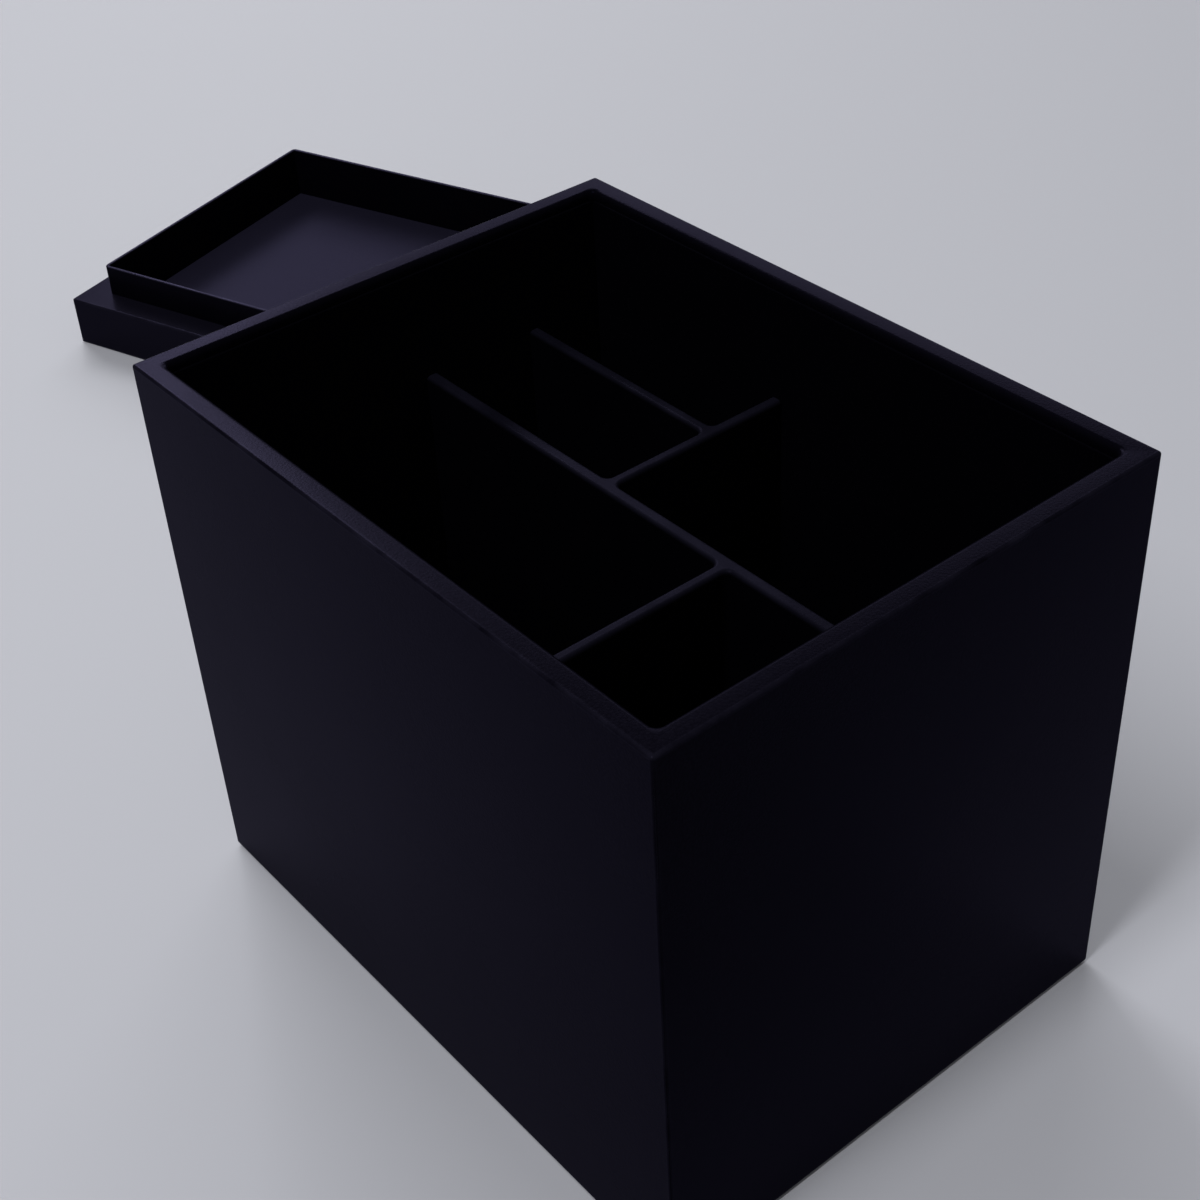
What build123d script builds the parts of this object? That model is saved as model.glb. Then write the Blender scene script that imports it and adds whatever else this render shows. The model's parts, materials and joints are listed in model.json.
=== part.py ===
from build123d import *
from dataclasses import dataclass
import math
import os

# Lidded organizer box with a lift-out divider set, in millimetres.
# The origin is the centre of the box's underside, +Z up, -Y the front, +X the right.
# The lid lies upside down on the table behind the box, where it was put down.

# Box
box_width = 151.0  # outside, along X
box_length = 200.0  # outside, along Y
box_height = 167.0
wall_board = 5.0
floor_thickness = 5.0
floor_rebate = 2.0  # how far the floor board is let into each wall
wrap = 0.6  # leatherette skin
base_cover_thickness = 0.8
base_cover_margin = 1.5  # bare edge round the felt under the box
liner = 1.0  # covered card on the walls
floor_liner_thickness = 1.0
liner_drop = 3.0  # liner tops, below the rim
outer_radius = 0.8  # soft edges of the wrapped shell
rim_radius = 0.5  # inner edge of the rim
inner_corner_radius = 2.0  # plan corners of the turned-in wrap
liner_edge = 0.4  # eased top edge of each liner

# Divider set
long_divider_core = 2.8
cross_divider_core = 2.4
short_divider_core = 2.4
divider_cover = 0.6
divider_drop = 35.0  # divider tops, below the rim
divider_clearance = 0.4  # between the set and the lined walls
divider_seat = 0.3  # between the set and the lined floor
long_divider_x = 8.4
front_cross_y = -29.2
rear_cross_y = 17.2
short_divider_x = 44.8
housing_depth = 0.8  # how far a tongue goes into the board that holds it
housing_stop = 8.0  # solid board left above each housing
cover_top_radius = 1.2
cove_radius = 2.0  # where the covers of two dividers meet

# Lid
lid_height = 20.6
lid_top_thickness = 10.0
lid_lining = 1.0
collar_thickness = 1.5
collar_stand = 12.8  # above the lid's flange
collar_clearance = 4.6  # between the collar and the lined box
collar_radius = 2.0  # plan corners of the bent band
collar_edge = 0.5

# The lid as it was put down
lid_shift = 139.9  # to the right of the box's centre
lid_setback = 142.8  # behind the point one box length back
lid_yaw = 19.2  # degrees

# Levels and spans that follow
wall_bottom = base_cover_thickness + wrap
wall_top = box_height - wrap
floor_top = base_cover_thickness + floor_thickness
liner_bottom = floor_top + floor_liner_thickness
liner_top = box_height - liner_drop
lined_wall = wrap + wall_board + liner
half_inner_width = box_width / 2 - lined_wall
half_inner_length = box_length / 2 - lined_wall
divider_bottom = liner_bottom + divider_seat
divider_top = box_height - divider_drop
tongue = divider_cover + housing_depth
tongue_top = divider_top - housing_stop
core_top = divider_top - divider_cover
wall_x = half_inner_width - divider_clearance
wall_y = half_inner_length - divider_clearance

flange = lined_wall + collar_clearance
lid_side_board = flange - 2 * wrap
lid_board_top = wrap + lid_top_thickness
lid_side_top = lid_height - wrap
collar_top = lid_height + collar_stand

box_plane = Plane.XY
lid_plane = Plane(
    origin=(lid_shift, box_length + lid_setback, 0),
    x_dir=(math.cos(math.radians(lid_yaw)), math.sin(math.radians(lid_yaw)), 0),
    z_dir=(0, 0, 1),
)

os.makedirs("parts", exist_ok=True)


def finish(piece, name):
    """Labels a finished piece and writes it out."""
    piece.part.label = name
    export_step(piece.part, f"parts/{name}.step")


def slab(plane, width, length, low, high, radius=0.0, mode=Mode.ADD):
    """A rectangular plate centred on a plane's axis, between two heights."""
    with BuildSketch(plane.offset(low)) as outline:
        if radius > 0:
            RectangleRounded(width, length, radius)
        else:
            Rectangle(width, length)
    extrude(outline.sketch, amount=high - low, mode=mode)


def bar(x_low, x_high, y_low, y_high, low, high, mode=Mode.ADD):
    """A plate of the divider set, from its limits in the box."""
    with BuildSketch(Plane.XY.offset(low)) as outline:
        with Locations(((x_low + x_high) / 2, (y_low + y_high) / 2)):
            Rectangle(x_high - x_low, y_high - y_low)
    extrude(outline.sketch, amount=high - low, mode=mode)


def side_plane(plane, side):
    """The plane turned so that its own -Y looks out of one side of a frame."""
    turns = {"front": 0, "right": 90, "rear": 180, "left": 270}
    return plane.rotated((0, 0, turns[side]))


def side_spans(side, width, length):
    """The length of a side of a frame, and how far it stands from the centre."""
    if side in ("front", "rear"):
        return width, length / 2
    return length, width / 2


def mitred_board(plane, side, width, length, thickness, low, high):
    """One side of a four-sided frame, with its ends cut at 45 degrees."""
    span, reach = side_spans(side, width, length)
    with BuildSketch(side_plane(plane, side).offset(low)) as outline:
        with BuildLine():
            Polyline(
                (-span / 2, -reach),
                (span / 2, -reach),
                (span / 2 - thickness, -reach + thickness),
                (-span / 2 + thickness, -reach + thickness),
                close=True,
            )
        make_face()
    extrude(outline.sketch, amount=high - low)


SIDES = ("front", "rear", "left", "right")

# Walls of the box, mitred, each rebated along its foot for the floor board
board_width = box_width - 2 * wrap
board_length = box_length - 2 * wrap
floor_width = board_width - 2 * (wall_board - floor_rebate)
floor_length = board_length - 2 * (wall_board - floor_rebate)

for side in SIDES:
    with BuildPart() as wall:
        mitred_board(
            box_plane, side, board_width, board_length, wall_board, wall_bottom, wall_top
        )
        slab(
            box_plane,
            floor_width,
            floor_length,
            base_cover_thickness,
            floor_top,
            mode=Mode.SUBTRACT,
        )
    finish(wall, f"{side}_wall")

# Floor board, let into the rebates
with BuildPart() as floor_board:
    slab(box_plane, floor_width, floor_length, base_cover_thickness, floor_top)
finish(floor_board, "floor_board")

# Leatherette over the walls, turned over the rim and under the bottom edges
with BuildPart() as outer_wrap:
    slab(box_plane, box_width, box_length, base_cover_thickness, box_height)
    fillet(outer_wrap.edges().filter_by(Axis.Z), radius=outer_radius)
    fillet(outer_wrap.edges().group_by(Axis.Z)[-1], radius=outer_radius)
    slab(
        box_plane,
        floor_width,
        floor_length,
        base_cover_thickness,
        wall_bottom,
        mode=Mode.SUBTRACT,
    )
    slab(
        box_plane, board_width, board_length, wall_bottom, wall_top, mode=Mode.SUBTRACT
    )
    slab(
        box_plane,
        board_width - 2 * wall_board,
        board_length - 2 * wall_board,
        liner_top,
        box_height,
    )
    slab(
        box_plane,
        board_width - 2 * (wall_board + wrap),
        board_length - 2 * (wall_board + wrap),
        liner_top,
        box_height,
        radius=inner_corner_radius,
        mode=Mode.SUBTRACT,
    )
    rim_edges = outer_wrap.edges().group_by(Axis.Z)[-1].filter_by(
        lambda edge: abs(edge.center().X) < board_width / 2 - wall_board
        and abs(edge.center().Y) < board_length / 2 - wall_board
    )
    fillet(rim_edges, radius=rim_radius)
finish(outer_wrap, "outer_wrap")

# Felt under the box
with BuildPart() as base_cover:
    slab(
        box_plane,
        box_width - 2 * base_cover_margin,
        box_length - 2 * base_cover_margin,
        0,
        base_cover_thickness,
        radius=outer_radius,
    )
finish(base_cover, "base_cover")

# Covered card on the walls, the side liners between the end liners
for side in SIDES:
    span, reach = side_spans(
        side, board_width - 2 * wall_board, board_length - 2 * wall_board
    )
    if side in ("left", "right"):
        span = span - 2 * liner
    with BuildPart() as wall_liner:
        with BuildSketch(side_plane(box_plane, side).offset(liner_bottom)) as outline:
            with Locations((0, -reach + liner / 2)):
                Rectangle(span, liner)
        extrude(outline.sketch, amount=liner_top - liner_bottom)
        inner_face = wall_liner.faces().sort_by_distance(Vector(0, 0, box_height / 2))[0]
        fillet(inner_face.edges().group_by(Axis.Z)[-1], radius=liner_edge)
    finish(wall_liner, f"{side}_liner")

with BuildPart() as floor_liner:
    slab(
        box_plane,
        board_width - 2 * wall_board,
        board_length - 2 * wall_board,
        floor_top,
        liner_bottom,
    )
finish(floor_liner, "floor_liner")

@dataclass
class Divider:
    """A board of the set: the way it runs, its centre line, its ends and its core.

    Its ends meet the lined walls, or the face of the board that holds it.
    """

    along: str
    centre: float
    start: float
    end: float
    core: float
    held_start: bool = False
    held_end: bool = False

    @property
    def half(self):
        return self.core / 2 + divider_cover

    def strip(self, start, end, low, high, half_thickness, mode=Mode.ADD):
        """A bar on the divider's centre line."""
        near, far = self.centre - half_thickness, self.centre + half_thickness
        if self.along == "y":
            bar(near, far, start, end, low, high, mode)
        else:
            bar(start, end, near, far, low, high, mode)

    def tongued_ends(self):
        """Its ends where a tongue goes through a cover into a stopped housing."""
        return self.start - tongue * self.held_start, self.end + tongue * self.held_end


long_half = long_divider_core / 2 + divider_cover
cross_half = cross_divider_core / 2 + divider_cover
dividers = {
    "long_divider": Divider("y", long_divider_x, -wall_y, wall_y, long_divider_core),
    "front_cross_divider": Divider(
        "x",
        front_cross_y,
        -wall_x,
        long_divider_x - long_half,
        cross_divider_core,
        held_end=True,
    ),
    "rear_cross_divider": Divider(
        "x",
        rear_cross_y,
        long_divider_x + long_half,
        wall_x,
        cross_divider_core,
        held_start=True,
    ),
    "short_divider": Divider(
        "y",
        short_divider_x,
        rear_cross_y + cross_half,
        wall_y,
        short_divider_core,
        held_start=True,
    ),
}
holders = {
    "long_divider": ("front_cross_divider", "rear_cross_divider"),
    "rear_cross_divider": ("short_divider",),
}

# The outside of the whole set, with a cove in each inner corner and a rounded top,
# from which the cover of each divider is cut
with BuildPart() as lattice:
    with BuildSketch(Plane.XY.offset(divider_bottom)) as plan:
        for divider in dividers.values():
            low_end, high_end = divider.tongued_ends()
            middle = (low_end + high_end) / 2
            span = high_end - low_end
            if divider.along == "y":
                with Locations((divider.centre, middle)):
                    Rectangle(2 * divider.half, span)
            else:
                with Locations((middle, divider.centre)):
                    Rectangle(span, 2 * divider.half)
        inner_corners = plan.vertices().filter_by(
            lambda corner: abs(corner.X) < wall_x - cove_radius
            and abs(corner.Y) < wall_y - cove_radius
        )
        fillet(inner_corners, radius=cove_radius)
    extrude(plan.sketch, amount=divider_top - divider_bottom)
    top_edges = lattice.edges().group_by(Axis.Z)[-1].filter_by(
        lambda edge: abs(edge.center().X) < wall_x - cove_radius
        and abs(edge.center().Y) < wall_y - cove_radius
    )
    fillet(top_edges, radius=cover_top_radius)


def cut_housings(name):
    """Cuts the housings for the tongues that a board holds."""
    for held in holders.get(name, ()):
        board = dividers[held]
        low_end, high_end = board.tongued_ends()
        board.strip(
            low_end, high_end, divider_bottom, tongue_top, board.core / 2, Mode.SUBTRACT
        )


for name, divider in dividers.items():
    with BuildPart() as core:
        start, end = divider.start, divider.end
        divider.strip(start, end, divider_bottom, core_top, divider.core / 2)
        divider.strip(
            *divider.tongued_ends(), divider_bottom, tongue_top, divider.core / 2
        )
        cut_housings(name)
    finish(core, name)

    with BuildPart() as cover:
        divider.strip(start, end, divider_bottom, divider_top, divider.half)
        coved = divider.half + cove_radius
        if divider.held_start:
            divider.strip(start, start + cove_radius, divider_bottom, divider_top, coved)
        if divider.held_end:
            divider.strip(end - cove_radius, end, divider_bottom, divider_top, coved)
        add(lattice.part, mode=Mode.INTERSECT)
        divider.strip(
            start, end, divider_bottom, core_top, divider.core / 2, Mode.SUBTRACT
        )
        cut_housings(name)
    finish(cover, f"{name}_cover")

# Lid boards, upside down: the top board lies lowest, and the side boards stand on it.
# They are as wide and as long as the box's boards, so that the lid lies flush with it.
with BuildPart() as lid_top_board:
    slab(lid_plane, board_width, board_length, wrap, lid_board_top)
finish(lid_top_board, "lid_top_board")

for side in SIDES:
    with BuildPart() as lid_side:
        mitred_board(
            lid_plane,
            side,
            board_width,
            board_length,
            lid_side_board,
            lid_board_top,
            lid_side_top,
        )
    finish(lid_side, f"lid_{side}_side")

# Leatherette on the lid's top, which lies on the table
with BuildPart() as lid_top_cover:
    slab(lid_plane, board_width, board_length, 0, wrap)
finish(lid_top_cover, "lid_top_cover")

# Leatherette round the lid's sides, over the flange and down behind the collar
collar_width = box_width - 2 * flange
collar_length = box_length - 2 * flange
with BuildPart() as lid_side_wrap:
    slab(lid_plane, box_width, box_length, 0, lid_height)
    fillet(lid_side_wrap.edges().filter_by(Axis.Z), radius=outer_radius)
    fillet(lid_side_wrap.edges().group_by(Axis.Z)[-1], radius=outer_radius)
    slab(lid_plane, board_width, board_length, 0, lid_side_top, mode=Mode.SUBTRACT)
    slab(
        lid_plane,
        board_width - 2 * lid_side_board,
        board_length - 2 * lid_side_board,
        lid_board_top,
        lid_height,
    )
    slab(
        lid_plane,
        collar_width,
        collar_length,
        lid_board_top,
        lid_height,
        radius=collar_radius,
        mode=Mode.SUBTRACT,
    )
finish(lid_side_wrap, "lid_side_wrap")

# The collar, a band bent to rounded corners, with its edge eased
with BuildPart() as lid_collar:
    slab(
        lid_plane,
        collar_width,
        collar_length,
        lid_board_top,
        collar_top,
        radius=collar_radius,
    )
    slab(
        lid_plane,
        collar_width - 2 * collar_thickness,
        collar_length - 2 * collar_thickness,
        lid_board_top,
        collar_top,
        radius=collar_radius - collar_thickness,
        mode=Mode.SUBTRACT,
    )
    fillet(lid_collar.edges().group_by(Axis.Z)[-1], radius=collar_edge)
finish(lid_collar, "lid_collar")

# Covered card inside the lid
with BuildPart() as lid_ceiling_lining:
    slab(
        lid_plane,
        collar_width - 2 * collar_thickness,
        collar_length - 2 * collar_thickness,
        lid_board_top,
        lid_board_top + lid_lining,
        radius=collar_radius - collar_thickness,
    )
finish(lid_ceiling_lining, "lid_ceiling_lining")
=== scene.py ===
import json
import math

import bmesh
import bpy
from mathutils import Matrix, Quaternion, Vector


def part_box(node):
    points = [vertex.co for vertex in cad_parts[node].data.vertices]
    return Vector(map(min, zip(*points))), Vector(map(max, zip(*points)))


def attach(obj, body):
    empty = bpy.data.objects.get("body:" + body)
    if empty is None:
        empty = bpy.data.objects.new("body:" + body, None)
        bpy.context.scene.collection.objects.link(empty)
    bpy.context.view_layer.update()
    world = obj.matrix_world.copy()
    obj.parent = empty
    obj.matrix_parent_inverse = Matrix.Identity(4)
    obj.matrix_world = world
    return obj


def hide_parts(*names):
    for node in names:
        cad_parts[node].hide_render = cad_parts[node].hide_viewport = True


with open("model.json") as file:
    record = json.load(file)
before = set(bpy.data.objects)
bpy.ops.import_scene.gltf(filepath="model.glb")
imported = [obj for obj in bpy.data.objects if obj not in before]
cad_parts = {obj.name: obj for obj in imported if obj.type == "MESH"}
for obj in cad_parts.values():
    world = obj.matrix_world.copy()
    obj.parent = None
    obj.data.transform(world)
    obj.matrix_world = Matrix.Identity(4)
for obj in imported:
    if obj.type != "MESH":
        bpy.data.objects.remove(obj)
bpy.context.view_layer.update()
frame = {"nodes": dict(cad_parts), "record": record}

# Lengths, radii and thicknesses are in metres

# The camera: place, direction, roll in degrees, lens and sensor in millimetres
CAMERA_PLACE = Vector((-0.2473, -0.3110, 0.4122))
CAMERA_VIEW = Vector((0.4840, 0.6310, -0.6063))
CAMERA_ROLL = -3.459
CAMERA_LENS = 58.78
CAMERA_SENSOR = 36.0
CAMERA_CLIP = 0.01

# Leatherette over the box and the lid
SKIN = 0.0006  # as cut
SKIN_DRAWN = 0.0005  # as modelled, a little clear of the board
SHELL_EDGE = 0.0008  # outer edges of the box and the lid
RIM_EDGE = 0.0018  # inner edge of the rim, softly turned
RIM_CORNER = 0.0020  # plan corners where it is turned in
FOOT_EDGE = 0.0004

# Divider covers
COVE = 0.0020  # inner corners, where two covers meet
COVER_TOP = 0.0012  # rounded tops

# Lid
LID_YAW = math.radians(19.2)
LID_FLANGE = 0.0112
LID_INNER_EDGE = 0.0002  # where the wrap turns down behind the collar
LID_CLEARANCE = 0.0001  # of the wrap's lowest edges over the floor
COLLAR_THICKNESS = 0.0015
COLLAR_CORNER = 0.0020
COLLAR_EDGE = 0.0005

# Finding edges and faces by their place and direction
UP = Vector((0, 0, 1))
SAME_HEIGHT = 1e-6
SAME_PLACE = 1e-5
ON_OUTLINE = 1e-4  # how far in an edge of the foot may lie
ON_CUT = 1e-7
FACING = 0.9  # least cosine between a direction and what looks that way
UPRIGHT = 0.99  # least rise of an upright edge, as a share of its length
STANDING = 0.5  # greatest cosine between an upright face's normal and up
STRAIGHT_ON = 0.01  # turn in radians that no longer counts as a corner

scene = bpy.context.scene
scene.view_settings.view_transform = "Standard"


# Node helpers

def new_tree(material):
    """An empty node tree with its output and a Principled shader."""
    material.use_nodes = True
    tree = material.node_tree
    tree.nodes.clear()
    output = tree.nodes.new("ShaderNodeOutputMaterial")
    shader = tree.nodes.new("ShaderNodeBsdfPrincipled")
    tree.links.new(shader.outputs["BSDF"], output.inputs["Surface"])
    return tree, shader


def new_group(name, inputs, outputs):
    """A shader node group with named float, vector or colour sockets."""
    group = bpy.data.node_groups.new(name, "ShaderNodeTree")
    for socket, kind, value in inputs:
        entry = group.interface.new_socket(socket, in_out="INPUT", socket_type=kind)
        if value is not None:
            entry.default_value = value
    for socket, kind in outputs:
        group.interface.new_socket(socket, in_out="OUTPUT", socket_type=kind)
    return group, group.nodes.new("NodeGroupInput"), group.nodes.new("NodeGroupOutput")


def math_node(tree, operation, first, second=None, clamp=False):
    """A Math node on sockets or numbers, returning its output."""
    node = tree.nodes.new("ShaderNodeMath")
    node.operation = operation
    node.use_clamp = clamp
    for socket, value in zip(node.inputs, (first, second)):
        if value is None:
            continue
        if isinstance(value, (int, float)):
            socket.default_value = value
        else:
            tree.links.new(value, socket)
    return node.outputs[0]


def noise(tree, vector, scale, detail=4.0, roughness=0.5):
    """A noise texture's value, with its scale a number or a socket."""
    node = tree.nodes.new("ShaderNodeTexNoise")
    tree.links.new(vector, node.inputs["Vector"])
    node.inputs["Detail"].default_value = detail
    node.inputs["Roughness"].default_value = roughness
    if isinstance(scale, (int, float)):
        node.inputs["Scale"].default_value = scale
    else:
        tree.links.new(scale, node.inputs["Scale"])
    return node.outputs["Fac"]


def ramp(tree, value, low, high, from_low=0.0, from_high=1.0):
    """A clamped Map Range."""
    node = tree.nodes.new("ShaderNodeMapRange")
    tree.links.new(value, node.inputs["Value"])
    node.inputs["From Min"].default_value = from_low
    node.inputs["From Max"].default_value = from_high
    node.inputs["To Min"].default_value = low
    node.inputs["To Max"].default_value = high
    return node.outputs["Result"]


MIX_A, MIX_B, MIX_RESULT = 6, 7, 2  # the Mix node's sockets for colours


def mix_colour(tree, factor, first, second):
    """A colour between two, by a factor socket."""
    node = tree.nodes.new("ShaderNodeMix")
    node.data_type = "RGBA"
    tree.links.new(factor, node.inputs["Factor"])
    for socket, value in ((node.inputs[MIX_A], first), (node.inputs[MIX_B], second)):
        if isinstance(value, tuple):
            socket.default_value = (*value, 1.0)
        else:
            tree.links.new(value, socket)
    return node.outputs[MIX_RESULT]


def bump(tree, height, distance, strength, shader):
    """A bump from a height to the shader's normal."""
    node = tree.nodes.new("ShaderNodeBump")
    node.inputs["Distance"].default_value = distance
    node.inputs["Strength"].default_value = strength
    tree.links.new(height, node.inputs["Height"])
    tree.links.new(node.outputs["Normal"], shader.inputs["Normal"])


# Shared effects: scales count over a metre, and the rest are shares

COARSE_TO_FINE = 0.12  # scale of the grain's coarse unevenness to that of its pebbles
PEBBLE_SHARE = 0.7
RIPPLE_TO_WAVE = 6.0
RIPPLE_SHARE = 0.12
EDGE_PATCH_SCALE = 90.0
CROWN_PATCH_SCALE = 70.0
PATCH_TO_FIBRE = 0.012


def make_leather_grain():
    """Fine pebbled grain: a height, and a mask of its hollows."""
    group, start, end = new_group(
        "leather_grain",
        [("Vector", "NodeSocketVector", None), ("Scale", "NodeSocketFloat", 1400.0)],
        [("Height", "NodeSocketFloat"), ("Hollows", "NodeSocketFloat")],
    )
    cells = group.nodes.new("ShaderNodeTexVoronoi")
    cells.feature = "SMOOTH_F1"
    cells.inputs["Smoothness"].default_value = 0.6
    group.links.new(start.outputs["Vector"], cells.inputs["Vector"])
    group.links.new(start.outputs["Scale"], cells.inputs["Scale"])
    pebble = ramp(group, cells.outputs["Distance"], 1.0, 0.0, from_low=0.1, from_high=0.75)
    coarse_scale = math_node(group, "MULTIPLY", start.outputs["Scale"], COARSE_TO_FINE)
    coarse = noise(group, start.outputs["Vector"], coarse_scale)
    raised = math_node(group, "MULTIPLY", pebble, PEBBLE_SHARE)
    group.links.new(math_node(group, "ADD", raised, coarse), end.inputs["Height"])
    hollows = ramp(group, pebble, 1.0, 0.0, from_low=0.2, from_high=0.7)
    group.links.new(hollows, end.inputs["Hollows"])
    return group


def make_board_waves():
    """The faint unevenness of paper-thin leatherette glued over board."""
    group, start, end = new_group(
        "board_waves",
        [("Vector", "NodeSocketVector", None), ("Scale", "NodeSocketFloat", 18.0)],
        [("Height", "NodeSocketFloat")],
    )
    broad = noise(group, start.outputs["Vector"], start.outputs["Scale"], detail=1.0)
    ripple_scale = math_node(group, "MULTIPLY", start.outputs["Scale"], RIPPLE_TO_WAVE)
    ripple = noise(group, start.outputs["Vector"], ripple_scale, detail=2.0)
    height = math_node(group, "ADD", broad, math_node(group, "MULTIPLY", ripple, RIPPLE_SHARE))
    group.links.new(height, end.inputs["Height"])
    return group


def make_edge_wear_and_highlight():
    """A mask along the edges of a block of a given half size, for wear and a painted highlight,
    broken up in patches.

    Uprights is the share of it on the upright edges, which hands reach less.
    """
    group, start, end = new_group(
        "edge_wear_and_highlight",
        [
            ("Vector", "NodeSocketVector", None),
            ("Half Size", "NodeSocketVector", (0.1, 0.1, 0.1)),
            ("Width", "NodeSocketFloat", 0.0015),
            ("Uprights", "NodeSocketFloat", 0.3),
        ],
        [("Mask", "NodeSocketFloat")],
    )
    place = group.nodes.new("ShaderNodeSeparateXYZ")
    half = group.nodes.new("ShaderNodeSeparateXYZ")
    group.links.new(start.outputs["Vector"], place.inputs[0])
    group.links.new(start.outputs["Half Size"], half.inputs[0])
    near = []
    for axis in range(3):
        inward = math_node(
            group, "SUBTRACT", half.outputs[axis],
            math_node(group, "ABSOLUTE", place.outputs[axis]),
        )
        share = math_node(group, "DIVIDE", inward, start.outputs["Width"])
        near.append(math_node(group, "SUBTRACT", 1.0, share, clamp=True))
    rising, across, along = (
        math_node(group, "MULTIPLY", near[first], near[second])
        for first, second in ((0, 1), (1, 2), (0, 2))
    )
    level = math_node(group, "MAXIMUM", across, along)
    upright = math_node(group, "MULTIPLY", rising, start.outputs["Uprights"])
    edge = math_node(group, "MAXIMUM", level, upright)
    speckle = noise(group, start.outputs["Vector"], EDGE_PATCH_SCALE, detail=5.0)
    patches = ramp(group, speckle, 0.15, 1.0, from_low=0.35, from_high=0.65)
    group.links.new(math_node(group, "MULTIPLY", edge, patches), end.inputs["Mask"])
    return group


def make_crown_wear_and_highlight():
    """A mask on the topmost part of an upright board, for a painted highlight and wear there,
    broken up in patches.
    """
    group, start, end = new_group(
        "crown_wear_and_highlight",
        [
            ("Vector", "NodeSocketVector", None),
            ("Top", "NodeSocketFloat", 0.1),
            ("Depth", "NodeSocketFloat", 0.0012),
        ],
        [("Mask", "NodeSocketFloat")],
    )
    place = group.nodes.new("ShaderNodeSeparateXYZ")
    group.links.new(start.outputs["Vector"], place.inputs[0])
    below = math_node(group, "SUBTRACT", start.outputs["Top"], place.outputs[2])
    share = math_node(group, "DIVIDE", below, start.outputs["Depth"])
    near = math_node(group, "SUBTRACT", 1.0, share, clamp=True)
    speckle = noise(group, start.outputs["Vector"], CROWN_PATCH_SCALE)
    patches = ramp(group, speckle, 0.6, 1.0, from_low=0.35, from_high=0.6)
    group.links.new(math_node(group, "MULTIPLY", near, patches), end.inputs["Mask"])
    return group


def make_felt_pile():
    """Pressed fibres: a fine height, and broad patches where they lie over."""
    group, start, end = new_group(
        "felt_pile",
        [("Vector", "NodeSocketVector", None), ("Scale", "NodeSocketFloat", 2600.0)],
        [("Height", "NodeSocketFloat"), ("Patches", "NodeSocketFloat")],
    )
    fibres = noise(
        group, start.outputs["Vector"], start.outputs["Scale"], detail=3.0, roughness=0.65,
    )
    broad_scale = math_node(group, "MULTIPLY", start.outputs["Scale"], PATCH_TO_FIBRE)
    broad = noise(group, start.outputs["Vector"], broad_scale)
    group.links.new(fibres, end.inputs["Height"])
    patches = ramp(group, broad, 0.0, 1.0, from_low=0.35, from_high=0.65)
    group.links.new(patches, end.inputs["Patches"])
    return group


LEATHER_GRAIN = make_leather_grain()
BOARD_WAVES = make_board_waves()
EDGE_WEAR_AND_HIGHLIGHT = make_edge_wear_and_highlight()
CROWN_WEAR_AND_HIGHLIGHT = make_crown_wear_and_highlight()
FELT_PILE = make_felt_pile()


def place_group(tree, group, vector, **values):
    """A node group in a material, on its own values."""
    node = tree.nodes.new("ShaderNodeGroup")
    node.node_tree = group
    tree.links.new(vector, node.inputs["Vector"])
    for socket, value in values.items():
        node.inputs[socket.replace("_", " ")].default_value = value
    return node


def object_vector(tree, centre=None, yaw=0.0):
    """Object coordinates in metres, from a centre and along a turned block's sides."""
    vector = tree.nodes.new("ShaderNodeTexCoord").outputs["Object"]
    if centre is None:
        return vector
    node = tree.nodes.new("ShaderNodeMapping")
    node.vector_type = "TEXTURE"
    node.inputs["Location"].default_value = centre
    node.inputs["Rotation"].default_value = (0.0, 0.0, yaw)
    tree.links.new(vector, node.inputs["Vector"])
    return node.outputs["Vector"]


# Materials

# Tones of the leatherette: each has its dark and its light parts
LEATHERETTE = ((0.0017, 0.0015, 0.0032), (0.0027, 0.0024, 0.0048))
# The lid's is the box's leatherette painted lighter, standing in for the light on the lid
LID_LEATHERETTE_PAINTED_LIGHTER = ((0.0062, 0.0056, 0.0105), (0.0076, 0.0069, 0.0128))
LINING = ((0.0012, 0.0011, 0.0022), (0.0020, 0.0018, 0.0035))
# The lid's ceiling: the lining painted many times lighter, a painted reflection of the lamps it
# faces
LID_LINING_PAINTED_REFLECTION = ((0.0138, 0.0127, 0.0245), (0.0185, 0.0170, 0.0322))
EDGE_WEAR_AND_HIGHLIGHT_TONE = (0.0140, 0.0130, 0.0235)  # worn edges, with a painted highlight along them
DIVIDER_CROWN_HIGHLIGHT = (0.0070, 0.0066, 0.0121)  # painted highlight on the tops of the dividers, with the wear where hands brush them
COLLAR_CROWN_HIGHLIGHT = (0.0260, 0.0240, 0.0430)  # painted highlight on the top of the collar, paler still

# Its roughness, from satin to dull, and how it reflects at a slant
SATIN = 0.24
LINING_DULL = 0.36
LID_LINING_DULL = 0.42
DULLER = 0.06  # how much duller its cloudy parts are
POLISHED = 0.06  # how much smoother worn edges are
GLOSS = 0.002  # the shader's specular level
CAST = (0.78, 0.75, 1.0, 1.0)  # violet
CAST_SHARE = 0.17

# Its relief, and its edge wear with a painted highlight: scales count over a metre, lengths are
# in metres
GRAIN_SCALE, GRAIN_SHARE = 1500.0, 0.8
WAVE_SCALE, WAVE_SHARE = 16.0, 6.0
CLOUD_SCALE = 22.0
RELIEF_DEPTH, RELIEF_STRENGTH = 0.00006, 0.35
WEAR_AND_HIGHLIGHT_WIDTH = 0.0012
WEAR_AND_HIGHLIGHT_UPRIGHTS = 0.3  # share of it on the upright edges

# Felt and fibreboard: each has its dark and its light parts
FELT = ((0.008, 0.008, 0.010), (0.014, 0.014, 0.017))
FELT_SHEEN = (0.55, 0.52, 0.75, 1.0)
FELT_SCALE = 2600.0
FIBREBOARD = ((0.22, 0.14, 0.08), (0.40, 0.28, 0.17))
FLECK_SCALE = 900.0


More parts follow.
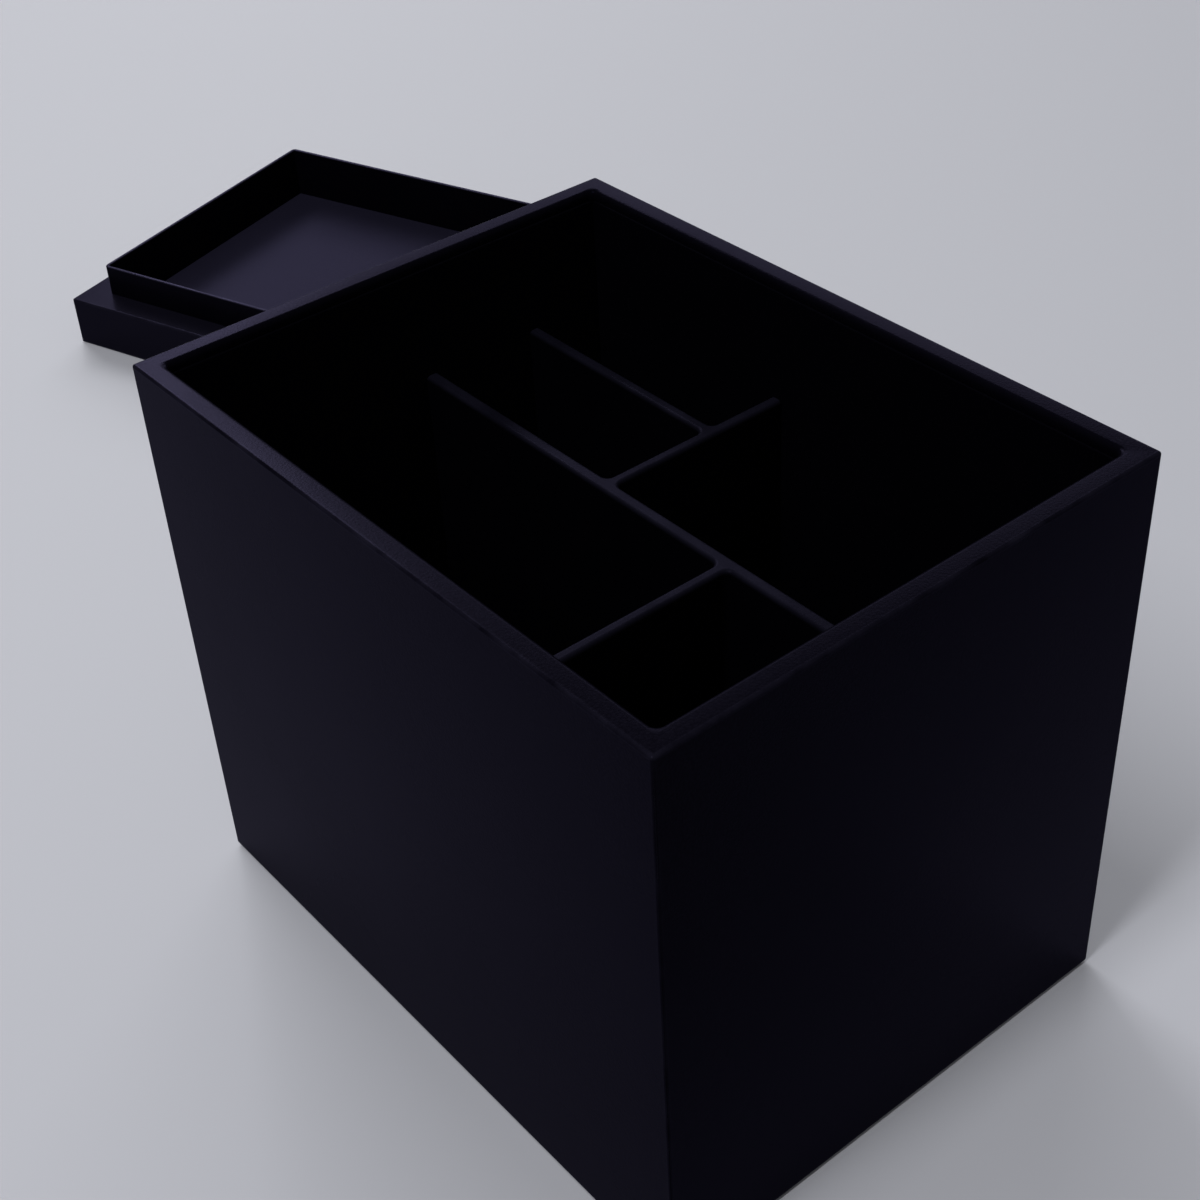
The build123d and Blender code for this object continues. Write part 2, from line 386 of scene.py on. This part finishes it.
def leatherette(name, tones, rough, worn_and_highlit=None, crown=None):
    """Near-black leatherette with a violet cast and a fine even grain.

    Where it covers a block, the block's centre, half size and turn place edge wear with a painted
    highlight along its edges. Where it covers upright boards, crown gives the height of their
    tops, and the depth and the tone of the painted highlight and wear there.
    """
    material = bpy.data.materials.new(name)
    tree, shader = new_tree(material)
    vector = object_vector(tree)
    grain = place_group(tree, LEATHER_GRAIN, vector, Scale=GRAIN_SCALE)
    waves = place_group(tree, BOARD_WAVES, vector, Scale=WAVE_SCALE)
    cloudy = noise(tree, vector, CLOUD_SCALE, detail=3.0)
    cloud = ramp(tree, cloudy, 0.0, 1.0, from_low=0.35, from_high=0.7)
    dark, light = tones
    base = mix_colour(tree, cloud, dark, light)
    colour = mix_colour(tree, grain.outputs["Hollows"], base, dark)
    roughness = ramp(tree, cloud, rough, rough + DULLER)
    if worn_and_highlit:
        centre, half_size, yaw = worn_and_highlit
        turned = object_vector(tree, centre, yaw)
        wear_and_highlight = place_group(
            tree, EDGE_WEAR_AND_HIGHLIGHT, turned,
            Half_Size=half_size, Width=WEAR_AND_HIGHLIGHT_WIDTH, Uprights=WEAR_AND_HIGHLIGHT_UPRIGHTS,
        )
        # edge wear with a painted highlight: the edges mixed towards a paler tone
        colour = mix_colour(tree, wear_and_highlight.outputs["Mask"], colour, EDGE_WEAR_AND_HIGHLIGHT_TONE)
        polish = math_node(tree, "MULTIPLY", wear_and_highlight.outputs["Mask"], POLISHED)
        roughness = math_node(tree, "SUBTRACT", roughness, polish)
    if crown:
        top, depth, tone = crown
        # painted highlight on the tops of upright boards, with some wear
        crown_highlight_and_wear = place_group(tree, CROWN_WEAR_AND_HIGHLIGHT, vector, Top=top, Depth=depth)
        colour = mix_colour(tree, crown_highlight_and_wear.outputs["Mask"], colour, tone)
    tree.links.new(colour, shader.inputs["Base Color"])
    tree.links.new(roughness, shader.inputs["Roughness"])
    shader.inputs["Specular IOR Level"].default_value = GLOSS
    shader.inputs["Metallic"].default_value = CAST_SHARE
    shader.inputs["Specular Tint"].default_value = CAST
    swell = math_node(tree, "MULTIPLY", waves.outputs["Height"], WAVE_SHARE)
    pebbles = math_node(tree, "MULTIPLY", grain.outputs["Height"], GRAIN_SHARE)
    height = math_node(tree, "ADD", swell, pebbles)
    bump(tree, height, RELIEF_DEPTH, RELIEF_STRENGTH, shader)
    return material


def felt(name):
    """Thin black felt."""
    material = bpy.data.materials.new(name)
    tree, shader = new_tree(material)
    vector = object_vector(tree)
    pile = place_group(tree, FELT_PILE, vector, Scale=FELT_SCALE)
    colour = mix_colour(tree, pile.outputs["Patches"], *FELT)
    tree.links.new(colour, shader.inputs["Base Color"])
    shader.inputs["Roughness"].default_value = 0.95
    shader.inputs["Specular IOR Level"].default_value = 0.12
    shader.inputs["Sheen Weight"].default_value = 0.2
    shader.inputs["Sheen Roughness"].default_value = 0.45
    shader.inputs["Sheen Tint"].default_value = FELT_SHEEN
    bump(tree, pile.outputs["Height"], 0.00015, 0.5, shader)
    return material


def fibreboard(name):
    """Pressed fibreboard, as its cut edges show it."""
    material = bpy.data.materials.new(name)
    tree, shader = new_tree(material)
    vector = object_vector(tree)
    fleck = noise(tree, vector, FLECK_SCALE, detail=5.0, roughness=0.7)
    share = ramp(tree, fleck, 0.0, 1.0, from_low=0.35, from_high=0.65)
    tree.links.new(mix_colour(tree, share, *FIBREBOARD), shader.inputs["Base Color"])
    shader.inputs["Roughness"].default_value = 0.85
    bump(tree, fleck, 0.0001, 0.5, shader)
    return material


# Places and sizes from the frame

def corners_of(node):
    """The lowest and highest corners of a CAD node."""
    return (Vector(corner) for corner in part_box(node))


wrap_low, wrap_high = corners_of("outer_wrap")
wall_low, wall_high = corners_of("left_wall")
_, liner_high = corners_of("left_liner")
_, divider_high = corners_of("long_divider_cover")
lid_low, lid_high = corners_of("lid_side_wrap")
_, lid_board_high = corners_of("lid_top_board")
collar_low, collar_high = corners_of("lid_collar")

box_size = wrap_high - wrap_low
rim_width = wall_high.x - wall_low.x + 2 * SKIN
lid_centre = (lid_low + lid_high) / 2
lid_size = Vector((box_size.x, box_size.y, lid_high.z - lid_low.z))
LID_FRAME = Matrix.Translation((lid_centre.x, lid_centre.y, 0)) @ Matrix.Rotation(LID_YAW, 4, "Z")

# What the edge wear and its painted highlight follow: centre, half size and turn of the box and
# the lid
box_block = ((0.0, 0.0, (wrap_low.z + wrap_high.z) / 2), tuple(box_size / 2), 0.0)
lid_block = (tuple(lid_centre), tuple(lid_size / 2), LID_YAW)

MATERIALS = {
    "leatherette": leatherette("leatherette", LEATHERETTE, SATIN, worn_and_highlit=box_block),
    # painted light: the lid's wrap takes a lighter copy of the box's leatherette
    "lid_leatherette": leatherette("lid_leatherette", LID_LEATHERETTE_PAINTED_LIGHTER, SATIN, worn_and_highlit=lid_block),
    # the collar's top carries a painted highlight
    "collar_board": leatherette(
        "collar_board", LEATHERETTE, SATIN, crown=(collar_high.z, COLLAR_EDGE, COLLAR_CROWN_HIGHLIGHT),
    ),
    "lining": leatherette("lining", LINING, LINING_DULL),
    # painted reflection: the lid's ceiling lining is many times lighter than the box's
    "lid_lining": leatherette("lid_lining", LID_LINING_PAINTED_REFLECTION, LID_LINING_DULL),
    # the divider tops carry a painted highlight
    "divider_lining": leatherette(
        "divider_lining", LINING, LINING_DULL, crown=(divider_high.z, COVER_TOP, DIVIDER_CROWN_HIGHLIGHT),
    ),
    "felt": felt("felt"),
    "fibreboard": fibreboard("fibreboard"),
}


def finish_node(name, material):
    """Gives a CAD node its finish."""
    node = frame["nodes"][name]
    node.data.materials.clear()
    node.data.materials.append(material)


SLOTS = {part["node"]: part["material_slot"] for part in frame["record"]["subparts"]}
for node_name, slot_name in SLOTS.items():
    finish_node(node_name, MATERIALS[slot_name])
# the lid's top cover gets the same painted-lighter leatherette
finish_node("lid_top_cover", MATERIALS["lid_leatherette"])
# the lid's ceiling takes the lining painted lighter as a painted reflection
finish_node("lid_ceiling_lining", MATERIALS["lid_lining"])


# Mesh helpers

def plate(width, length, height):
    """A level rectangle about the origin, at a height."""
    shape = bmesh.new()
    bmesh.ops.create_grid(shape, x_segments=1, y_segments=1, size=0.5)
    bmesh.ops.scale(shape, vec=(width, length, 1.0), verts=shape.verts)
    bmesh.ops.translate(shape, vec=(0, 0, height), verts=shape.verts)
    return shape


def made(result, kind):
    """The items of one kind that an operator made."""
    return [item for item in result["geom"] if isinstance(item, kind)]


def raise_faces(shape, faces, distance):
    """Extrudes faces straight up, or down for a negative distance; returns their tops."""
    borders = [edge for edge in shape.edges if any(face in faces for face in edge.link_faces)]
    result = bmesh.ops.extrude_face_region(shape, geom=faces + borders)
    bmesh.ops.translate(shape, vec=(0, 0, distance), verts=made(result, bmesh.types.BMVert))
    return made(result, bmesh.types.BMFace)


def round_off(shape, parts, radius, segments, affect="EDGES"):
    """Bevels edges, or the plan corners of flat faces, to a round."""
    bmesh.ops.bevel(
        shape, geom=parts, offset=radius, offset_type="OFFSET", segments=segments,
        profile=0.5, affect=affect, clamp_overlap=True, material=-1,
    )


def faces_towards(shape, direction):
    """The faces of a shape that look in a direction."""
    return [face for face in shape.faces if face.normal.dot(direction) > FACING]


def is_upright(edge):
    """Whether an edge runs straight up."""
    along = edge.verts[1].co - edge.verts[0].co
    return abs(along.z) > UPRIGHT * along.length


def borders_side(edge):
    """Whether an edge borders a face that stands upright."""
    return any(abs(face.normal.z) < STANDING for face in edge.link_faces)


def is_level(edge, height):
    """Whether both ends of an edge are at a height."""
    return all(abs(vert.co.z - height) < SAME_HEIGHT for vert in edge.verts)


def middle(edge):
    """The middle of an edge."""
    return (edge.verts[0].co + edge.verts[1].co) / 2


def within(edge, width, length, margin):
    """Whether an edge lies inside a rectangle about the origin, grown by a margin."""
    place = middle(edge)
    return abs(place.x) < width / 2 + margin and abs(place.y) < length / 2 + margin


def make_piece(name, shape, body, material, replaced, placed=None, thickness=0.0):
    """Turns a bmesh into a finished piece that rides on a body and replaces nodes."""
    if placed is not None:
        bmesh.ops.transform(shape, matrix=placed, verts=shape.verts)
    for face in shape.faces:
        face.smooth = True
    mesh = bpy.data.meshes.new(name)
    shape.to_mesh(mesh)
    shape.free()
    mesh.materials.append(material)
    piece = bpy.data.objects.new(name, mesh)
    scene.collection.objects.link(piece)
    if thickness > 0:
        skin = piece.modifiers.new("skin", "SOLIDIFY")
        skin.thickness = thickness
        skin.offset = -1.0
    shading = piece.modifiers.new("shading", "WEIGHTED_NORMAL")
    shading.mode = "FACE_AREA"
    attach(piece, body)
    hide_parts(*replaced)


# Wraps

def wrapped_frame(size, low, high, rim, turn_in, turn_under, inner_corner, inner_edge):
    """Leatherette from under a four-sided frame, up its outside, over its rim and down
    its inside.

    Low and high are its heights, rim is the width over the top, and turn_in and turn_under
    are how far it goes down the inside and in under the foot.
    """
    inner_width, inner_length = size.x - 2 * rim, size.y - 2 * rim
    shape = plate(size.x, size.y, low)
    raise_faces(shape, list(shape.faces), high - low)
    bmesh.ops.recalc_face_normals(shape, faces=shape.faces)
    top, bottom = faces_towards(shape, UP), faces_towards(shape, -UP)
    bmesh.ops.inset_region(shape, faces=bottom, thickness=turn_under, use_even_offset=True)
    bmesh.ops.delete(shape, geom=bottom, context="FACES")
    bmesh.ops.inset_region(shape, faces=top, thickness=rim, use_even_offset=True)
    floor = raise_faces(shape, top, -turn_in)
    bmesh.ops.delete(shape, geom=floor, context="FACES")
    inner_corners = [
        edge for edge in shape.edges
        if is_upright(edge) and within(edge, inner_width, inner_length, SAME_PLACE)
    ]
    round_off(shape, inner_corners, inner_corner, 6)
    rim_inside = [
        edge for edge in shape.edges
        if is_level(edge, high) and borders_side(edge)
        and within(edge, inner_width, inner_length, SAME_PLACE)
    ]
    round_off(shape, rim_inside, inner_edge, 3)
    outer_corners = [
        edge for edge in shape.edges
        if is_upright(edge) and not within(edge, size.x, size.y, -SAME_PLACE)
    ]
    rim_outside = [
        edge for edge in shape.edges
        if is_level(edge, high) and not within(edge, size.x, size.y, -SAME_PLACE)
    ]
    round_off(shape, outer_corners + rim_outside, SHELL_EDGE, 5)
    foot = [
        edge for edge in shape.edges
        if is_level(edge, low) and not within(edge, size.x, size.y, -ON_OUTLINE)
    ]
    round_off(shape, foot, FOOT_EDGE, 3)
    return shape


def make_box_wrap():
    """The box's leatherette."""
    floor_low, floor_high = corners_of("floor_board")
    shape = wrapped_frame(
        box_size, wrap_low.z, wrap_high.z, rim=rim_width,
        turn_in=wrap_high.z - liner_high.z,
        turn_under=(box_size.x - floor_high.x + floor_low.x) / 2,
        inner_corner=RIM_CORNER, inner_edge=RIM_EDGE,
    )
    make_piece(
        "box_leatherette", shape, "box", MATERIALS["leatherette"],
        ["outer_wrap"], thickness=SKIN_DRAWN,
    )


def make_lid_wrap():
    """The lid's leatherette: its sides, the flange and the strip down behind the collar."""
    shape = wrapped_frame(
        lid_size, lid_low.z + LID_CLEARANCE, lid_high.z, rim=LID_FLANGE,
        turn_in=lid_high.z - lid_board_high.z,
        turn_under=SKIN,
        inner_corner=COLLAR_CORNER, inner_edge=LID_INNER_EDGE,
    )
    make_piece(
        "lid_leatherette", shape, "lid", MATERIALS["lid_leatherette"],
        ["lid_side_wrap"], placed=LID_FRAME, thickness=SKIN_DRAWN,
    )


# Collar

def make_collar():
    """The lid's collar: a bent band with an eased top."""
    width, length = lid_size.x - 2 * LID_FLANGE, lid_size.y - 2 * LID_FLANGE
    low, high = collar_low.z, collar_high.z
    shape = plate(width, length, low)
    round_off(shape, list(shape.verts), COLLAR_CORNER, 6, affect="VERTICES")
    raise_faces(shape, list(shape.faces), high - low)
    bmesh.ops.recalc_face_normals(shape, faces=shape.faces)
    top, bottom = faces_towards(shape, UP), faces_towards(shape, -UP)
    bmesh.ops.inset_region(shape, faces=top, thickness=COLLAR_THICKNESS, use_even_offset=True)
    bmesh.ops.inset_region(shape, faces=bottom, thickness=COLLAR_THICKNESS, use_even_offset=True)
    loops = [list(face.edges) for face in (top[0], bottom[0])]
    bmesh.ops.delete(shape, geom=top + bottom, context="FACES_ONLY")
    bmesh.ops.bridge_loops(shape, edges=loops[0] + loops[1])
    bmesh.ops.recalc_face_normals(shape, faces=shape.faces)
    crown = [edge for edge in shape.edges if is_level(edge, high) and borders_side(edge)]
    round_off(shape, crown, COLLAR_EDGE, 3)
    make_piece(
        "lid_collar_band", shape, "lid", MATERIALS["collar_board"],
        ["lid_collar"], placed=LID_FRAME,
    )


# Divider covers

DIVIDERS = ("long_divider", "front_cross_divider", "rear_cross_divider", "short_divider")


def cover_span(divider):
    """The corners of one divider's cover: a skin on either side of its board."""
    low, high = corners_of(f"{divider}_cover")
    board_low, board_high = corners_of(divider)
    if high.y - low.y > high.x - low.x:
        low.x, high.x = board_low.x - SKIN, board_high.x + SKIN
    else:
        low.y, high.y = board_low.y - SKIN, board_high.y + SKIN
    return low, high


def lies_over(low, high, place):
    """Whether a strip lies over a place."""
    return low.x < place.x < high.x and low.y < place.y < high.y


def at_walls(low, high, place):
    """Whether a place is on the outline of the set, where it meets the box's walls."""
    return any(
        abs(place[axis] - bound[axis]) < SAME_PLACE for axis in (0, 1) for bound in (low, high)
    )


def is_inner_corner(vert):
    """Whether the outline turns inwards at a corner of a flat shape."""
    loop = vert.link_loops[0]
    back = loop.link_loop_prev.vert.co - vert.co
    ahead = loop.link_loop_next.vert.co - vert.co
    return ahead.cross(back).dot(loop.face.normal) < 0


def cross_plan(strips, height):
    """The plan of all the strips as one level face."""
    shape = plate(box_size.x, box_size.y, height)
    for low, high in strips:
        for place, normal in (
            (low, (1, 0, 0)), (high, (1, 0, 0)), (low, (0, 1, 0)), (high, (0, 1, 0)),
        ):
            bmesh.ops.bisect_plane(
                shape, geom=shape.verts[:] + shape.edges[:] + shape.faces[:],
                plane_co=place, plane_no=normal, dist=ON_CUT,
            )
    spare = [
        face for face in shape.faces
        if not any(lies_over(low, high, face.calc_center_median()) for low, high in strips)
    ]
    bmesh.ops.delete(shape, geom=spare, context="FACES")
    bmesh.ops.dissolve_faces(shape, faces=shape.faces[:])
    bmesh.ops.dissolve_limit(
        shape, angle_limit=STRAIGHT_ON, verts=shape.verts[:], edges=shape.edges[:],
    )
    return shape


def make_divider_covers():
    """The folded covers of the divider set, with a cove in each inner corner."""
    strips = [cover_span(divider) for divider in DIVIDERS]
    low = Vector([min(strip[0][axis] for strip in strips) for axis in range(3)])
    high = Vector([max(strip[1][axis] for strip in strips) for axis in range(3)])
    bottom, top = strips[0][0].z, strips[0][1].z
    shape = cross_plan(strips, top)
    coves = [
        vert for vert in shape.verts
        if is_inner_corner(vert) and (
            low.x + COVE < vert.co.x < high.x - COVE
            or low.y + COVE < vert.co.y < high.y - COVE
        )
    ]
    round_off(shape, coves, COVE, 5, affect="VERTICES")
    raise_faces(shape, shape.faces[:], bottom - top)
    bmesh.ops.recalc_face_normals(shape, faces=shape.faces)
    crown = [
        edge for edge in shape.edges
        if is_level(edge, top) and not at_walls(low, high, middle(edge))
    ]
    round_off(shape, crown, COVER_TOP, 5)
    underside = faces_towards(shape, -UP)
    open_ends = [
        face for face in shape.faces
        if face in underside or at_walls(low, high, face.calc_center_median())
    ]
    bmesh.ops.delete(shape, geom=open_ends, context="FACES")
    make_piece(
        "divider_covers", shape, "divider_set", MATERIALS["divider_lining"],
        [f"{divider}_cover" for divider in DIVIDERS], thickness=SKIN_DRAWN,
    )


make_box_wrap()
make_lid_wrap()
make_collar()
make_divider_covers()


# Camera

def make_camera():
    """The photograph's viewpoint."""
    data = bpy.data.cameras.new("camera")
    data.lens = CAMERA_LENS
    data.sensor_width = CAMERA_SENSOR
    data.clip_start = CAMERA_CLIP
    data.dof.use_dof = False
    camera = bpy.data.objects.new("camera", data)
    turn = CAMERA_VIEW.to_track_quat("-Z", "Y")
    roll = Quaternion((0, 0, 1), math.radians(CAMERA_ROLL))
    camera.rotation_mode = "QUATERNION"
    camera.rotation_quaternion = turn @ roll
    camera.location = CAMERA_PLACE
    scene.collection.objects.link(camera)
    scene.camera = camera


# Floor and light

FLOOR_TONE = (0.50, 0.505, 0.54, 1.0)
FLOOR_NEAR, FLOOR_FAR = 1.1, 2.4  # between them the lit floor goes over into a plain backdrop
FLOOR_REACH = 6.0
FLOOR_DROP = 0.0002  # how far it lies under the box
LAMP_TONE = (0.97, 0.975, 1.0)
FILL_STRENGTH = 0.21
BOX_MIDDLE = (0.0, 0.0, 0.15)
BOX_FOOT = (0.0, 0.0, 0.0)
LAMPS = {
    # name: place, aim, width and height in metres, power in watts
    "wall": ((1.71, 2.04, 1.52), BOX_MIDDLE, (1.94, 1.0), 19.5),
    "window": ((0.58, 2.41, 1.84), BOX_MIDDLE, (1.18, 0.84), 34.0),
    "side": ((-0.85, -0.12, 1.80), BOX_FOOT, (0.35, 1.2), 22.0),
}


def make_floor():
    """A plain pale floor, which the camera sees go over into the backdrop far away."""
    shape = bmesh.new()
    bmesh.ops.create_grid(shape, x_segments=1, y_segments=1, size=FLOOR_REACH)
    bmesh.ops.translate(shape, vec=(0, 0, -FLOOR_DROP), verts=shape.verts)
    mesh = bpy.data.meshes.new("floor")
    shape.to_mesh(mesh)
    shape.free()
    floor = bpy.data.objects.new("floor", mesh)
    scene.collection.objects.link(floor)
    material = bpy.data.materials.new("pale_floor")
    tree, shader = new_tree(material)
    shader.inputs["Base Color"].default_value = FLOOR_TONE
    shader.inputs["Roughness"].default_value = 0.6
    shader.inputs["Specular IOR Level"].default_value = 0.2
    reach = tree.nodes.new("ShaderNodeVectorMath")
    reach.operation = "LENGTH"
    tree.links.new(object_vector(tree), reach.inputs[0])
    far = ramp(
        tree, reach.outputs["Value"], 0.0, 1.0, from_low=FLOOR_NEAR, from_high=FLOOR_FAR,
    )
    far.node.interpolation_type = "SMOOTHSTEP"
    path = tree.nodes.new("ShaderNodeLightPath")
    backdrop = tree.nodes.new("ShaderNodeEmission")
    backdrop.inputs["Color"].default_value = FLOOR_TONE
    mix = tree.nodes.new("ShaderNodeMixShader")
    seen_far = math_node(tree, "MULTIPLY", far, path.outputs["Is Camera Ray"])
    tree.links.new(seen_far, mix.inputs[0])
    tree.links.new(shader.outputs["BSDF"], mix.inputs[1])
    tree.links.new(backdrop.outputs["Emission"], mix.inputs[2])
    tree.links.new(mix.outputs[0], tree.get_output_node("ALL").inputs["Surface"])
    mesh.materials.append(material)


def area_light(name, place, aim, size, power):
    """A soft rectangular lamp that points at a spot."""
    data = bpy.data.lights.new(name, "AREA")
    data.shape = "RECTANGLE"
    data.size, data.size_y = size
    data.energy = power
    data.color = LAMP_TONE
    lamp = bpy.data.objects.new(name, data)
    lamp.location = place
    lamp.rotation_mode = "QUATERNION"
    lamp.rotation_quaternion = (Vector(aim) - Vector(place)).to_track_quat("-Z", "Y")
    scene.collection.objects.link(lamp)


def make_world():
    """A dim even fill, with the floor's own tone behind it in the camera's eye."""
    world = bpy.data.worlds.new("studio")
    world.use_nodes = True
    tree = world.node_tree
    tree.nodes.clear()
    output = tree.nodes.new("ShaderNodeOutputWorld")
    seen = tree.nodes.new("ShaderNodeBackground")
    seen.inputs["Color"].default_value = FLOOR_TONE
    fill = tree.nodes.new("ShaderNodeBackground")
    fill.inputs["Color"].default_value = (*LAMP_TONE, 1.0)
    fill.inputs["Strength"].default_value = FILL_STRENGTH
    path = tree.nodes.new("ShaderNodeLightPath")
    mix = tree.nodes.new("ShaderNodeMixShader")
    tree.links.new(path.outputs["Is Camera Ray"], mix.inputs[0])
    tree.links.new(fill.outputs[0], mix.inputs[1])
    tree.links.new(seen.outputs[0], mix.inputs[2])
    tree.links.new(mix.outputs[0], output.inputs["Surface"])
    scene.world = world


make_camera()
make_floor()
make_world()
for lamp_name, settings in LAMPS.items():
    area_light(lamp_name, *settings)
